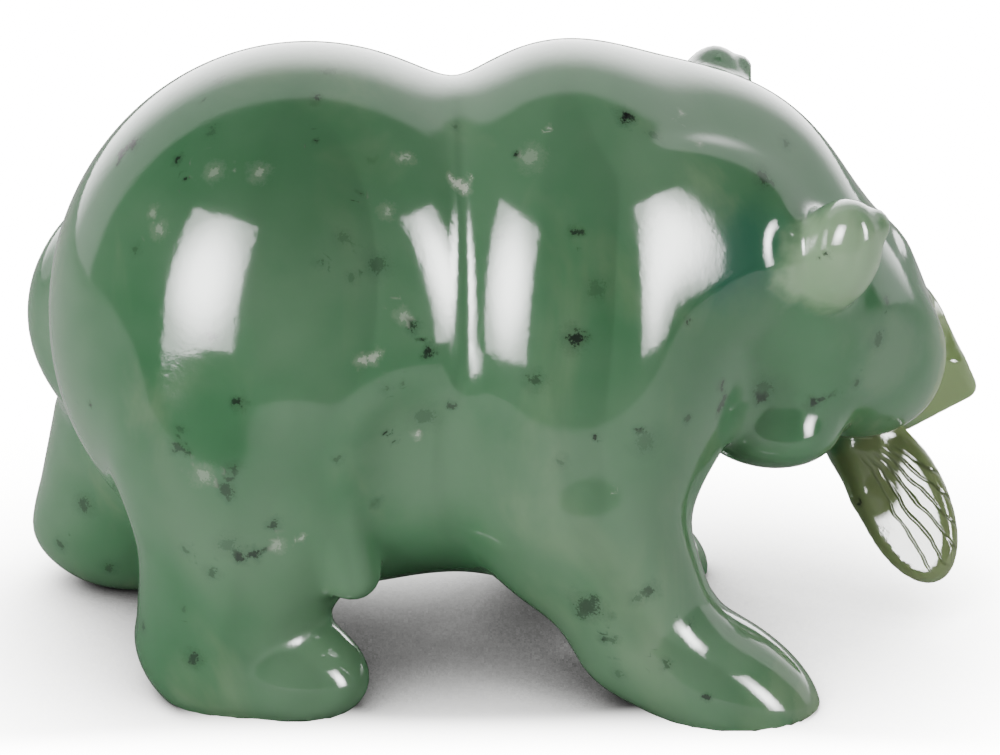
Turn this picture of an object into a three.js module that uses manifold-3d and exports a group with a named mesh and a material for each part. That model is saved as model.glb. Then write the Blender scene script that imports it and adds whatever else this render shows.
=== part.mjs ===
// A walking bear with a fish held crosswise in its mouth, carved from one piece of jade.
// Millimetres, +Z up. The bear walks towards +X and turns its head to its left, towards +Y.

import * as THREE from 'three';
import Module from 'manifold-3d';
import { mergeVertices } from 'three/addons/utils/BufferGeometryUtils.js';

// Driving size: the pose and proportions below are hundredths of this height.
const height = 100;
const share = height / 100;

// How the head sits on the neck: the middle of the skull, and the turn of the face in degrees.
const headPlace = [42.5, 9.5, 61.7];
const headTurnLeft = 31.5;
const headNod = 30;
const headLean = 25;

// Small forms that have sizes of their own.
const earHeight = 22.4 * share;
const earWidth = 14 * share;
const earDepth = 12.8 * share;
const earWall = 2.8 * share;
const snoutLength = 18 * share;
const snoutWidth = 18 * share;
const snoutDepth = 15.6 * share;
const snoutEdge = 3 * share;
const noseWidth = 10.4 * share;
const tailFinLength = 28.8 * share;
const tailFinWidth = 15.4 * share;
const tailFinThickness = 4.4 * share;
const fishGirth = 12 * share;
const eyeSize = 4.8 * share;

// Cells of the lattices that the surfaces are drawn on: wide on the body, fine where the carving is.
const bodyCell = 4.9 * share;
const fineCell = 2.4 * share;

const scaled = (triple) => triple.map((value) => value * share);
const add = (a, b) => [a[0] + b[0], a[1] + b[1], a[2] + b[2]];
const from = (p, c) => [p[0] - c[0], p[1] - c[1], p[2] - c[2]];
const size = (v) => Math.hypot(v[0], v[1], v[2]);

// A turned frame: its columns are the directions forward, left and up after a turn to the left,
// a nod down and a lean to the right, in degrees.
function frame(left = 0, nod = 0, lean = 0) {
  const turn = new THREE.Matrix4().makeRotationZ(THREE.MathUtils.degToRad(left));
  turn.multiply(new THREE.Matrix4().makeRotationY(THREE.MathUtils.degToRad(nod)));
  turn.multiply(new THREE.Matrix4().makeRotationX(THREE.MathUtils.degToRad(lean)));
  const axes = [new THREE.Vector3(), new THREE.Vector3(), new THREE.Vector3()];
  turn.extractBasis(...axes);
  return axes.map((axis) => axis.toArray());
}

const dot = (a, b) => a[0] * b[0] + a[1] * b[1] + a[2] * b[2];
const into = (axes, v) => [dot(v, axes[0]), dot(v, axes[1]), dot(v, axes[2])];
const upright = frame();

// Forms: each is a function of a point that is about the distance to its surface, negative inside.
function ellipsoid(centre, half, axes = upright) {
  return (p) => {
    const q = into(axes, from(p, centre));
    const near = size([q[0] / half[0], q[1] / half[1], q[2] / half[2]]);
    const slope = size([q[0] / half[0] ** 2, q[1] / half[1] ** 2, q[2] / half[2] ** 2]);
    return (near * (near - 1)) / (slope + 1e-9);
  };
}

function limb(start, end, startRadius, endRadius) {
  const along = from(end, start);
  return (p) => {
    const q = from(p, start);
    const t = THREE.MathUtils.clamp(dot(q, along) / dot(along, along), 0, 1);
    const off = from(q, along.map((value) => value * t));
    return size(off) - (startRadius + (endRadius - startRadius) * t);
  };
}

function roundedBlock(centre, half, edge, axes = upright) {
  return (p) => {
    const q = into(axes, from(p, centre)).map((value, i) => Math.abs(value) - (half[i] - edge));
    const outside = size(q.map((value) => Math.max(value, 0)));
    return outside + Math.min(Math.max(...q), 0) - edge;
  };
}

// A join that fills the corner between two forms over the given width, and a cut that rounds it.
function blend(a, b, width) {
  const h = Math.max(width - Math.abs(a - b), 0) / width;
  return Math.min(a, b) - (h ** 3 * width) / 6;
}

const carve = (a, b, width) => -blend(-a, b, width);

// A share-sized ellipsoid and limb, for the body's masses.
const mass = (centre, half, ...turn) => ellipsoid(scaled(centre), scaled(half), frame(...turn));
const leg = (start, end, top, bottom) => limb(scaled(start), scaled(end), top * share, bottom * share);

// Trunk: a round rump with the far buttock lower and further back, a soft waist, the shoulders and the
// belly, hollowed at each flank before the thigh and at the chest between the forelegs.
const rump = mass([-29.5, -1.5, 56.5], [41, 35.2, 43.5]);
const farButtock = mass([-35, 15, 51], [41.5, 21, 30]);
const shoulders = mass([10.5, 0, 56], [30.5, 34.2, 44]);
const belly = mass([-10, 0, 41], [40, 27, 25]);
const flanks = [-1, 1].map((side) => mass([-7, side * 42, 36], [15, 14, 24], 0, -14));
const chest = mass([47, -4, 22], [19.5, 40, 22]);

// How far a point is from one height to another, 0 to 1.
const rise = (p, low, high) => THREE.MathUtils.clamp((p[2] / share - low) / (high - low), 0, 1);

// The waist is a sharp fold at the sides, soft over the back and under the belly.
const waistWidth = (p) => (2.5 + 8.5 * Math.max(rise(p, 84, 96), rise(p, 62, 48))) * share;

function trunk(p) {
  const back = blend(blend(rump(p), farButtock(p), 5 * share), shoulders(p), waistWidth(p));
  const whole = blend(back, belly(p), 10 * share);
  const waisted = flanks.reduce((value, hollow) => carve(value, hollow(p), 6 * share), whole);
  return carve(waisted, chest(p), 4 * share);
}

// Neck, hollowed under the throat too, and the loose skin of the throat.
const column = mass([27, 6, 63.5], [30.5, 24, 31], 10, 38);
const neck = (p) => carve(column(p), chest(p), 4 * share);
const ruff = mass([42.5, 0, 39.6], [12, 14, 7.8], 20, 4);

// Legs: thigh or upper arm, shank and paw, the fold of skin before the near thigh, and how widely the
// leg runs into the trunk. The soles are cut flat at the ground afterwards.
const nearHind = {
  thigh: mass([-39, -18, 42], [21, 18, 30], 0, -14),
  fold: leg([-29, -31, 56], [-22.5, -27, 24], 5, 4.5),
  shank: leg([-40, -19, 28], [-42.5, -17.5, 9.5], 15.5, 14.5),
  paw: mass([-38.5, -20, 6.5], [19.5, 11.5, 9.5], -24, 6),
  width: 3.5 * share,
};
const farHind = {
  thigh: mass([-44, 18, 36], [27, 17, 28]),
  shank: leg([-61, 24, 29], [-64, 26, 14], 13.5, 14),
  paw: mass([-58.5, 27.5, 8.2], [20.5, 11.5, 10], 14, 8),
  width: 4 * share,
};
const nearFore = {
  thigh: mass([11, -19, 48], [19.3, 16, 34]),
  shank: leg([12.8, -21, 34], [22.6, -21.5, 13], 14.3, 11.5),
  paw: mass([32, -22.5, 5.5], [20, 12.5, 9.5], -8, 25),
  width: 6 * share,
};
const farFore = {
  thigh: mass([10, 19, 48], [19.3, 16, 34]),
  shank: leg([8, 23, 34], [12, 25, 14], 14.8, 12),
  paw: mass([18, 27, 6], [19, 11.5, 9.5], 8, 22),
  width: 7 * share,
};
const legs = [nearHind, farHind, nearFore, farFore];

function wholeLeg({ thigh, fold, shank, paw }, p) {
  const upper = fold ? blend(thigh(p), fold(p), 3 * share) : thigh(p);
  return blend(blend(upper, shank(p), 6 * share), paw(p), 5 * share);
}

// Head, in its own frame: forward along the face, left, and up.
const headAxes = frame(headTurnLeft, headNod, headLean);
const headCentre = scaled(headPlace);
const inHead = (p) => into(headAxes, from(p, headCentre));

const skull = mass([2, 0, -1.5], [26.5, 25, 19]);
const cheeks = [-1, 1].map((side) => mass([18, side * 9, -3.5], [18, 13, 14.5]));
const jaw = leg([7, 0, -14.5], [31, 0, -21], 12.5, 5.5);

function head(q) {
  const round = cheeks.reduce((value, cheek) => blend(value, cheek(q), 8 * share), skull(q));
  return blend(round, jaw(q), 2 * share);
}

// The snout: the bridge of the nose, tapering to a squared tip with the nose pad at its upper front.
const snoutMiddle = scaled([37.1, 0, -3]);
const snoutAxes = frame(0, 28);
const bridge = leg([16, 0, 4], [37, 0, -4.5], 11, 8.5);
const snoutTip = roundedBlock(
  snoutMiddle,
  [snoutLength / 2, snoutWidth / 2, snoutDepth / 2],
  snoutEdge,
  snoutAxes,
);
const noseHalf = [noseWidth * 0.35, noseWidth / 2, noseWidth * 0.3];
const nose = ellipsoid(scaled([45.7, 0, -0.8]), noseHalf, snoutAxes);
const snout = (q) => blend(blend(bridge(q), snoutTip(q), 3 * share), nose(q), 1.5 * share);

const eyePlace = (side) => scaled([33, side * 7.6, 3.5]);

// An ear is a leaf on the side of the skull, hollowed at the front. The near one has a fold of skin
// behind it.
const earPlace = (side) => scaled(side < 0 ? [-7.5, -19.5, 15.5] : [-11, 20.5, 12]);
const earHalf = [earDepth / 2, earWidth / 2, earHeight / 2];
const leaf = ellipsoid(scaled([-0.6, 0, -0.4]), earHalf, frame(0, -6));
const bowl = ellipsoid([earHalf[0], 0, 0], earHalf.map((value) => value - earWall));

const fold = mass([-7.6, 4.4, -5], [4.2, 6, 7.5], 0, -14);

function ear(side) {
  const axes = frame(side * -6, -25, side * -14);
  return (q) => {
    const e = into(axes, from(q, earPlace(side)));
    const hollowed = carve(leaf(e), bowl(e), share);
    return side < 0 ? blend(hollowed, fold(e), 5 * share) : hollowed;
  };
}

// Fish, held crosswise in the mouth, its tail bent forward. The tail has a frame of its own: along it,
// across its fin, and through it.
const tailPlace = scaled([34.2, -9.5, -16.6]);
const tailAxes = frame(-60, 19, 84);
const inTail = (q) => into(tailAxes, from(q, tailPlace));
const tailFinMiddle = scaled([12.2, 1.8, 0]);

// The tail fin is a leaf-shaped plate with a full round rim.
function tailFin(e) {
  const rim = tailFinThickness / 2;
  const long = tailFinLength / 2;
  const wide = tailFinWidth / 2;
  const [x, y, z] = from(e, tailFinMiddle);
  const near = Math.hypot(x / long, y / wide);
  const steep = Math.hypot(x / long ** 2, y / wide ** 2);
  const inward = (near * (near - 1)) / (steep + 1e-9) + rim;
  return Math.hypot(Math.max(inward, 0), z) - rim;
}

const tailRoot = limb(scaled([-5, 0, 0]), scaled([8, -2.2, 0]), fishGirth / 2, fishGirth * 0.3);
const fishMiddle = add(tailPlace, scaled([0, 20, 0]));
const fishInside = limb(tailPlace, fishMiddle, fishGirth / 2, fishGirth / 2);
const fishHalf = [fishGirth * 0.66, 14 * share, fishGirth / 2];
const fishBody = ellipsoid(fishMiddle, fishHalf, frame(0, -57));

function fish(q) {
  const e = inTail(q);
  const tail = blend(tailFin(e), tailRoot(e), 4 * share);
  return blend(tail, blend(fishInside(q), fishBody(q), 4 * share), 4 * share);
}

// The body with its legs, neck and head, before the finer carving is added to it. The neck runs
// softly into the shoulders and the head at the nape, and in sharp folds at the throat.
function body(p) {
  const limbs = legs.reduce((value, form) => blend(value, wholeLeg(form, p), form.width), trunk(p));
  const nape = rise(p, 40, 70);
  const front = blend(neck(p), head(inHead(p)), (1.5 + 6.5 * nape) * share);
  const whole = blend(limbs, front, (2 + 12 * nape) * share);
  return blend(whole, ruff(p), (2 + 12 * rise(p, 35, 47)) * share);
}

// A form with a skirt that runs smoothly onto the body, kept within a ball round its middle. Beyond
// the skirt it lies just under the body's surface, so that the two join along one clean line.
const skirtDepth = 0.35 * share;

function onBody(form, middle, reach, width) {
  return (p) => {
    const skirted = blend(form(p), body(p) + skirtDepth, width);
    return Math.max(skirted, size(from(p, middle)) - reach);
  };
}

function slope(form, p) {
  const step = 0.05;
  return [0, 1, 2].map((axis) => {
    const high = [...p];
    const low = [...p];
    high[axis] += step;
    low[axis] -= step;
    return (form(high) - form(low)) / (2 * step);
  });
}

// Where lattice points inside the form meet only across the diagonal of a square, one more is taken in,
// so that no edge of the mesh is shared by four faces.
function fillDiagonals(values, counts, index, cell) {
  let filled = 1;
  while (filled > 0) {
    filled = 0;
    for (let i = 0; i < counts[0] - 1; i++) {
      for (let j = 0; j < counts[1] - 1; j++) {
        for (let k = 0; k < counts[2] - 1; k++) {
          for (const [u, v] of [[[1, 0, 0], [0, 1, 0]], [[0, 1, 0], [0, 0, 1]], [[0, 0, 1], [1, 0, 0]]]) {
            const a = index(i, j, k);
            const b = index(i + u[0], j + u[1], k + u[2]);
            const c = index(i + u[0] + v[0], j + u[1] + v[1], k + u[2] + v[2]);
            const d = index(i + v[0], j + v[1], k + v[2]);
            const inside = [a, b, c, d].map((at) => values[at] < 0);
            if (inside[0] !== inside[2] || inside[1] !== inside[3] || inside[0] === inside[1]) continue;
            const [one, other] = inside[0] ? [b, d] : [a, c];
            values[values[one] < values[other] ? one : other] = -0.01 * cell;
            filled += 1;
          }
        }
      }
    }
  }
}

// A closed mesh of four-sided faces where the form changes sign: one corner in each lattice cell
// that the surface passes, and one face across each lattice edge that it crosses.
function surfaceOf(form, low, high, cell) {
  const counts = high.map((value, i) => Math.ceil((value - low[i]) / cell) + 1);
  const index = (i, j, k) => (i * counts[1] + j) * counts[2] + k;
  const place = (i, j, k) => [low[0] + i * cell, low[1] + j * cell, low[2] + k * cell];
  const values = new Float64Array(counts[0] * counts[1] * counts[2]);
  for (let i = 0; i < counts[0]; i++) {
    for (let j = 0; j < counts[1]; j++) {
      for (let k = 0; k < counts[2]; k++) {
        values[index(i, j, k)] = form(place(i, j, k));
      }
    }
  }
  fillDiagonals(values, counts, index, cell);
  const corners = new Map();
  const crossings = [];
  for (let i = 1; i < counts[0] - 1; i++) {
    for (let j = 1; j < counts[1] - 1; j++) {
      for (let k = 1; k < counts[2] - 1; k++) {
        const here = [i, j, k];
        for (let axis = 0; axis < 3; axis++) {
          const next = [...here];
          next[axis] += 1;
          const a = values[index(...here)];
          const b = values[index(...next)];
          if (a < 0 === b < 0) continue;
          const point = place(...here);
          point[axis] += (cell * a) / (a - b);
          const ring = [[0, 0], [-1, 0], [-1, -1], [0, -1]].map(([u, v]) => {
            const around = [...here];
            around[(axis + 1) % 3] += u;
            around[(axis + 2) % 3] += v;
            const key = index(...around);
            if (!corners.has(key)) corners.set(key, { sum: [0, 0, 0], count: 0 });
            const corner = corners.get(key);
            corner.sum = add(corner.sum, point);
            corner.count += 1;
            return key;
          });
          crossings.push(a < 0 ? ring : ring.reverse());
        }
      }
    }
  }
  const order = new Map([...corners.keys()].map((key, i) => [key, i]));
  const points = [...corners.values()].map(({ sum, count }) => sum.map((value) => value / count));
  const faces = crossings.map((ring) => ring.map((key) => order.get(key)));
  return { points, faces };
}

// Evens the mesh out and brings each corner back onto the form.
function settle(form, points, faces, rounds) {
  const around = points.map(() => new Set());
  for (const ring of faces) {
    ring.forEach((corner, i) => {
      const next = ring[(i + 1) % 4];
      around[corner].add(next);
      around[next].add(corner);
    });
  }
  let current = points;
  for (let round = 0; round < rounds; round++) {
    const evened = current.map((p, i) => {
      const sum = [...around[i]].reduce((total, other) => add(total, current[other]), [0, 0, 0]);
      return p.map((value, axis) => 0.5 * value + (0.5 * sum[axis]) / around[i].size);
    });
    current = evened.map((p) => {
      const g = slope(form, p);
      const pull = form(p) / (dot(g, g) + 1e-9);
      return p.map((value, axis) => value - pull * g[axis]);
    });
  }
  return current;
}

// Splits each four-sided face along its shorter diagonal.
function triangles(points, faces) {
  return faces.flatMap(([a, b, c, d]) => {
    const straight = size(from(points[a], points[c])) <= size(from(points[b], points[d]));
    return straight ? [a, b, c, a, c, d] : [a, b, d, b, c, d];
  });
}

const wasm = await Module();
wasm.setup();

function solid(geometry) {
  const bare = geometry.clone();
  bare.deleteAttribute('normal');
  bare.deleteAttribute('uv');
  const merged = mergeVertices(bare, 1e-4);
  return new wasm.Manifold(new wasm.Mesh({
    numProp: 3,
    vertProperties: new Float32Array(merged.attributes.position.array),
    triVerts: new Uint32Array(merged.index.array),
  }));
}

function geometryOf(manifold) {
  const mesh = manifold.getMesh();
  const geometry = new THREE.BufferGeometry();
  geometry.setAttribute('position', new THREE.BufferAttribute(new Float32Array(mesh.vertProperties), 3));
  geometry.setIndex(new THREE.BufferAttribute(new Uint32Array(mesh.triVerts), 1));
  return geometry;
}

// A form as a solid, drawn on a lattice between two corners.
function drawn(form, low, high, cell) {
  const { points, faces } = surfaceOf(form, low, high, cell);
  const settled = settle(form, points, faces, 4);
  const geometry = new THREE.BufferGeometry();
  geometry.setAttribute('position', new THREE.Float32BufferAttribute(settled.flat(), 3));
  geometry.setIndex(triangles(settled, faces));
  return solid(geometry);
}

// A piece of finer carving as a solid, with its skirt on the body.
function detail(form, middle, reach, width, cell) {
  const edge = reach + 2 * cell;
  const low = middle.map((value) => value - edge);
  const high = middle.map((value) => value + edge);
  return drawn(onBody(form, middle, reach, width), low, high, cell);
}

const fromHead = (q) => headAxes.reduce(
  (sum, axis, i) => add(sum, axis.map((value) => value * q[i])),
  headCentre,
);
const inHeadForm = (form) => (p) => form(inHead(p));

// The carving as one closed mesh, with its four soles ground flat at Z 0.
function carving() {
  const pieces = [drawn(body, scaled([-90, -50, -22]), scaled([82, 56, 112]), bodyCell)];
  for (const side of [-1, 1]) {
    const middle = fromHead(earPlace(side));
    pieces.push(detail(inHeadForm(ear(side)), middle, 15 * share, 5 * share, fineCell));
    const eye = new THREE.SphereGeometry(eyeSize / 2, 12, 8);
    pieces.push(solid(eye.translate(...fromHead(eyePlace(side)))));
  }
  pieces.push(detail(inHeadForm(snout), fromHead(snoutMiddle), 24 * share, 5 * share, fineCell));
  pieces.push(detail(inHeadForm(fish), fromHead(tailPlace), 42 * share, 1.5 * share, fineCell));
  const whole = pieces.reduce((sum, piece) => sum.add(piece));
  const depth = 40 * share;
  const ground = new THREE.BoxGeometry(4 * height, 4 * height, depth).translate(0, 0, -depth / 2);
  const cut = geometryOf(whole.subtract(solid(ground)));
  cut.computeVertexNormals();
  return cut;
}

const jade = new THREE.MeshStandardMaterial({ color: 0x5c8a68, roughness: 0.12, metalness: 0 });
const geometry = carving();
geometry.computeBoundingBox();
const middle = geometry.boundingBox.getCenter(new THREE.Vector3());
const jadeBear = new THREE.Mesh(geometry, jade);
jadeBear.name = 'jade_bear';
jadeBear.position.set(-middle.x, -middle.y, 0);

const group = new THREE.Group();
group.add(jadeBear);
export default group;
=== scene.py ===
"""A polished jade carving of a walking bear that holds a fish crosswise in its mouth.

The stone is one closed surface, drawn where a sum of smooth forms changes sign. The forms are the
carver's masses: rump, shoulders, belly, neck, skull, legs, ears and fish. Lengths of the forms are
hundredths of the carving's height. The bear walks towards +X and turns its head towards +Y.
"""

import bpy
import numpy as np
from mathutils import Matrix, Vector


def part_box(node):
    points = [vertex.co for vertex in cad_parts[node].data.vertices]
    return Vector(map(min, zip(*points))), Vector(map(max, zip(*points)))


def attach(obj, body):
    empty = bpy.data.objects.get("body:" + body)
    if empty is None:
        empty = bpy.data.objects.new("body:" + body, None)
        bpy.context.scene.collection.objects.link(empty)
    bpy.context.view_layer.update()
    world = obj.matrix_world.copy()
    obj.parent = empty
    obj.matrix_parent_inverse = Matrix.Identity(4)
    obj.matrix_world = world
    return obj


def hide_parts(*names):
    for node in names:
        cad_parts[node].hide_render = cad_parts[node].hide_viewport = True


bl_info = {
    "name": "Jade Bear Carving",
    "version": (1, 0, 0),
    "blender": (4, 5, 0),
    "location": "View3D > Sidebar > Jade Bear",
    "description": "Builds a polished jade bear with a fish in its mouth, and its studio stage",
    "category": "Object",
}

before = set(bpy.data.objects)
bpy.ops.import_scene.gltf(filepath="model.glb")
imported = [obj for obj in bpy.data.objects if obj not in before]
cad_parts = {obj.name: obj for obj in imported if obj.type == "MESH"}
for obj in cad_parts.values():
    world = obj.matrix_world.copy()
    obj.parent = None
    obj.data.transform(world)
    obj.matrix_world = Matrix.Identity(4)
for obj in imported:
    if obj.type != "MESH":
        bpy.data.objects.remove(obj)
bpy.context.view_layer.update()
BEAR_HIGH = np.array(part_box("jade_bear")[1])


# Turns and forms. Points are arrays whose last axis holds x, y and z.


def turned(left=0.0, nod=0.0, lean=0.0):
    """Axes turned left about Z, then nodded down, then leant right, in degrees, as three columns."""
    a, b, c = np.radians([left, nod, lean])
    about_z = np.array([[np.cos(a), -np.sin(a), 0], [np.sin(a), np.cos(a), 0], [0, 0, 1]])
    about_y = np.array([[np.cos(b), 0, np.sin(b)], [0, 1, 0], [-np.sin(b), 0, np.cos(b)]])
    about_x = np.array([[1, 0, 0], [0, np.cos(c), -np.sin(c)], [0, np.sin(c), np.cos(c)]])
    return about_z @ about_y @ about_x


def ellipsoid(points, centre, half, axes=None):
    """Near distance to an ellipsoid: n(n - 1) over the steepness of n, the reach in half sizes."""
    q = points - np.array(centre, float)
    if axes is not None:
        q = q @ axes
    half = np.array(half, float)
    reach = np.linalg.norm(q / half, axis=-1)
    steepness = np.linalg.norm(q / half**2, axis=-1)
    return reach * (reach - 1) / (steepness + 1e-9)


def limb(points, start, end, start_radius, end_radius):
    """Distance to the nearest point of a line, less a radius that runs evenly from end to end."""
    start = np.array(start, float)
    along = np.array(end, float) - start
    q = points - start
    t = np.clip(q @ along / (along @ along), 0, 1)
    off = np.linalg.norm(q - t[..., None] * along, axis=-1)
    return off - (start_radius + (end_radius - start_radius) * t)


def rounded_block(points, centre, half, edge, axes):
    """Distance to a smaller box, outside and inside, less the radius of the rounded edge."""
    q = np.abs((points - np.array(centre, float)) @ axes) - (np.array(half, float) - edge)
    outside = np.linalg.norm(np.maximum(q, 0), axis=-1)
    return outside + np.minimum(q.max(axis=-1), 0) - edge


def blend(a, b, width):
    """The lesser of two forms, lowered by a cubic of how near they are, over the given width."""
    near = np.maximum(width - np.abs(a - b), 0) / width
    return np.minimum(a, b) - near**3 * width / 6


def carve(a, b, width):
    """The form a with b taken out of it, the edge rounded over the given width."""
    return -blend(-a, b, width)


# Body and legs.


def chest_hollow(p):
    """The space between the forelegs, under the throat."""
    return ellipsoid(p, (47, -4, 22), (19.5, 40, 22))


def trunk(p):
    """Rump, lower far buttock, shoulders, a flatter near shoulder and belly, hollowed at the flanks."""
    rump = ellipsoid(p, (-29.5, -1.5, 56.5), (41, 35.2, 43.5))
    far_buttock = ellipsoid(p, (-35, 15, 51), (41.5, 21, 30))
    shoulders = ellipsoid(p, (10.5, 0, 56), (30.5, 34.2, 44))
    near_shoulder = ellipsoid(p, (25.6, -19.4, 72), (19.5, 7, 17), turned(30, 0, -14))
    belly = ellipsoid(p, (-10, 0, 41), (40, 27, 25))
    above = np.clip((p[..., 2] - 84) / 12, 0, 1)
    below = np.clip((62 - p[..., 2]) / 14, 0, 1)
    waist = 2.5 + 8.5 * np.maximum(above, below)
    form = blend(blend(blend(rump, far_buttock, 5), shoulders, waist), belly, 10)
    form = blend(form, near_shoulder, 3)
    for side in (-1, 1):
        form = carve(form, ellipsoid(p, (-7, side * 42, 36), (15, 14, 24), turned(0, -14)), 6)
    return carve(form, chest_hollow(p), 4)


def near_hind_leg(p):
    """Thigh, shank and paw on the near side."""
    thigh = ellipsoid(p, (-39, -18, 42), (21, 18, 30), turned(0, -14))
    shank = limb(p, (-40, -19, 28), (-42.5, -17.5, 9.5), 15.5, 14.5)
    paw = ellipsoid(p, (-38.5, -20, 6.5), (19.5, 11.5, 9.5), turned(-24, 6))
    fold = limb(p, (-29, -31, 56), (-22.5, -27, 24), 5, 4.5)
    return blend(blend(blend(thigh, fold, 3), shank, 6), paw, 4)


def far_hind_leg(p):
    """Thigh, shank and paw on the far side, set further back."""
    thigh = ellipsoid(p, (-44, 18, 36), (27, 17, 28))
    shank = limb(p, (-61, 24, 29), (-64, 26, 14), 13.5, 14)
    paw = ellipsoid(p, (-58.5, 27.5, 8.2), (20.5, 11.5, 10), turned(14, 8))
    return blend(blend(thigh, shank, 6), paw, 5)


def near_foreleg(p):
    """Upper arm, shank and the long sloping paw on the near side."""
    arm = ellipsoid(p, (11, -19, 48), (19.3, 16, 34))
    shank = limb(p, (12.8, -21, 34), (22.6, -21.5, 13), 14.3, 11.5)
    paw = ellipsoid(p, (32, -22.5, 5.5), (20, 12.5, 9.5), turned(-8, 25))
    return blend(blend(arm, shank, 6), paw, 6)


def far_foreleg(p):
    """Upper arm, shank and paw on the far side."""
    arm = ellipsoid(p, (10, 19, 48), (19.3, 16, 34))
    shank = limb(p, (8, 23, 34), (12, 25, 14), 14.8, 12)
    paw = ellipsoid(p, (18, 27, 6), (19, 11.5, 9.5), turned(8, 22))
    return blend(blend(arm, shank, 8), paw, 6)


def neck(p):
    """The neck, reaching down and forward, hollowed under the throat."""
    return carve(ellipsoid(p, (27, 6, 63.5), (30.5, 24, 31), turned(10, 38)), chest_hollow(p), 4)


def ruff(p):
    """The loose skin of the throat."""
    return ellipsoid(p, (42.5, 0, 39.6), (12, 14, 7.8), turned(20, 4))


# Head, in a frame of its own: forward along the face, left, and up.

HEAD_PLACE = np.array((42.5, 9.5, 61.7))
HEAD_AXES = turned(31.5, 30, 25)
SNOUT_AXES = turned(0, 28)


def in_head(p):
    """Points of the carving seen from the head's frame."""
    return (p - HEAD_PLACE) @ HEAD_AXES


def head(q):
    """Skull, cheeks, bridge, squared snout with its nose pad, jaw, eyes in their sockets, nostrils."""
    form = ellipsoid(q, (2, 0, -1.5), (26.5, 25, 19))
    for side in (-1, 1):
        form = blend(form, ellipsoid(q, (18, side * 9, -3.5), (18, 13, 14.5)), 8)
    form = blend(form, limb(q, (16, 0, 4), (37, 0, -4.5), 11, 8.5), 4)
    form = blend(form, rounded_block(q, (37.1, 0, -3), (9, 9, 7.8), 2.2, SNOUT_AXES), 3)
    form = blend(form, ellipsoid(q, (44.5, 0, -1.2), (3.2, 5.2, 3), SNOUT_AXES), 1.5)
    form = blend(form, limb(q, (7, 0, -14.5), (31, 0, -21), 12.5, 5.5), 2)
    for side in (-1, 1):
        form = carve(form, ellipsoid(q, (35.6, side * 8, 6), (3.8, 3.4, 3)), 3)
        form = blend(form, ellipsoid(q, (33, side * 7, 3.5), (2.3, 2.3, 2.3)), 0.8)
        form = carve(form, ellipsoid(q, (47.3, side * 2.4, -1.4), (1.7, 1.1, 1.0)), 0.6)
    return form


def ear(q, side):
    """A leaf on the side of the skull, cut off at its rim and hollowed, the near one with a fold."""
    place = (-7.5, -19.5, 15.5) if side < 0 else (-11.5, 20.5, 11)
    e = (q - np.array(place)) @ turned(side * -6, -25, side * -14)
    leaf = ellipsoid(e, (-0.6, 0, -0.4), (6.4, 7, 11.2), turned(0, -6))
    leaf = blend(leaf, limb(e, (0, 0, 4), (2.6, 0, 7.2), 3.4, 2.4), 2)
    leaf = carve(leaf, 4.6 - e[..., 0], 1)
    leaf = carve(leaf, ellipsoid(e, (6, 1.5, 1.5), (5, 4.2, 6.6)), 1)
    if side > 0:
        return leaf
    fold = ellipsoid(e, (-7.6, 4.4, -5), (4.2, 6, 7.5), turned(0, -14))
    return blend(leaf, fold, 5)


# Fish, held crosswise in the mouth. Its tail has a frame of its own: along it, across its fin and
# through it, the last one toward the viewer.

TAIL_PLACE = np.array((34.2, -9.5, -16.6))
TAIL_AXES = turned(-60, 19, 84)


def in_tail(q):
    """Points of the head's frame seen from the tail's frame."""
    return (q - TAIL_PLACE) @ TAIL_AXES


def tail_fin(e):
    """A leaf-shaped plate with a full round rim."""
    long, wide, rim = 14.4, 7.7, 2.2
    x = e[..., 0] - 12.2
    y = e[..., 1] - 1.8
    reach = np.hypot(x / long, y / wide)
    steepness = np.hypot(x / long**2, y / wide**2)
    inward = reach * (reach - 1) / (steepness + 1e-9) + rim
    return np.hypot(np.maximum(inward, 0), e[..., 2]) - rim


def fish(q):
    """Tail fin, its root in the mouth, and the body on the far side."""
    e = in_tail(q)
    root = limb(e, (-5, 0, 0), (8, -2.2, 0), 6, 3.6)
    tail = blend(tail_fin(e), root, 4)
    inside = limb(q, TAIL_PLACE, TAIL_PLACE + (0, 20, 0), 6, 6)
    body = ellipsoid(q, TAIL_PLACE + (0, 20, 0), (8, 14, 6), turned(0, -57))
    return blend(tail, blend(inside, body, 4), 4)


def carving(p):
    """The whole stone: negative inside, about the distance to the surface outside."""
    form = trunk(p)
    form = blend(form, near_hind_leg(p), 3.5)
    form = blend(form, far_hind_leg(p), 4)
    form = blend(form, near_foreleg(p), 6)
    form = blend(form, far_foreleg(p), 7)
    q = in_head(p)
    up = np.clip((p[..., 2] - 40) / 30, 0, 1)
    front = blend(neck(p), head(q), 1.5 + 6.5 * up)
    form = blend(form, front, 2 + 12 * up)
    form = blend(form, ruff(p), 2 + 12 * np.clip((p[..., 2] - 35) / 12, 0, 1))
    for side in (-1, 1):
        form = blend(form, ear(q, side), 5)
    form = blend(form, fish(q), 1.5)
    return np.maximum(form, -p[..., 2])


# Drawing a form's surface as a mesh.


def lattice_line(low, high, wide, fine_low, fine_high, fine):
    """Places along one axis: widely spaced, and closer together between two of them."""
    before = np.arange(fine_low, low, -wide)[:0:-1]
    between = np.arange(fine_low, fine_high, fine)
    after = np.arange(fine_high, high, wide)
    return np.concatenate([before, between, after])


def sampled(form, lines):
    """The form's value at every lattice point, one slab of the lattice after another."""
    slabs = np.array_split(lines[0], max(1, len(lines[0]) // 12))
    values = [form(np.stack(np.meshgrid(s, *lines[1:], indexing="ij"), axis=-1)) for s in slabs]
    return np.concatenate(values)


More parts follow.
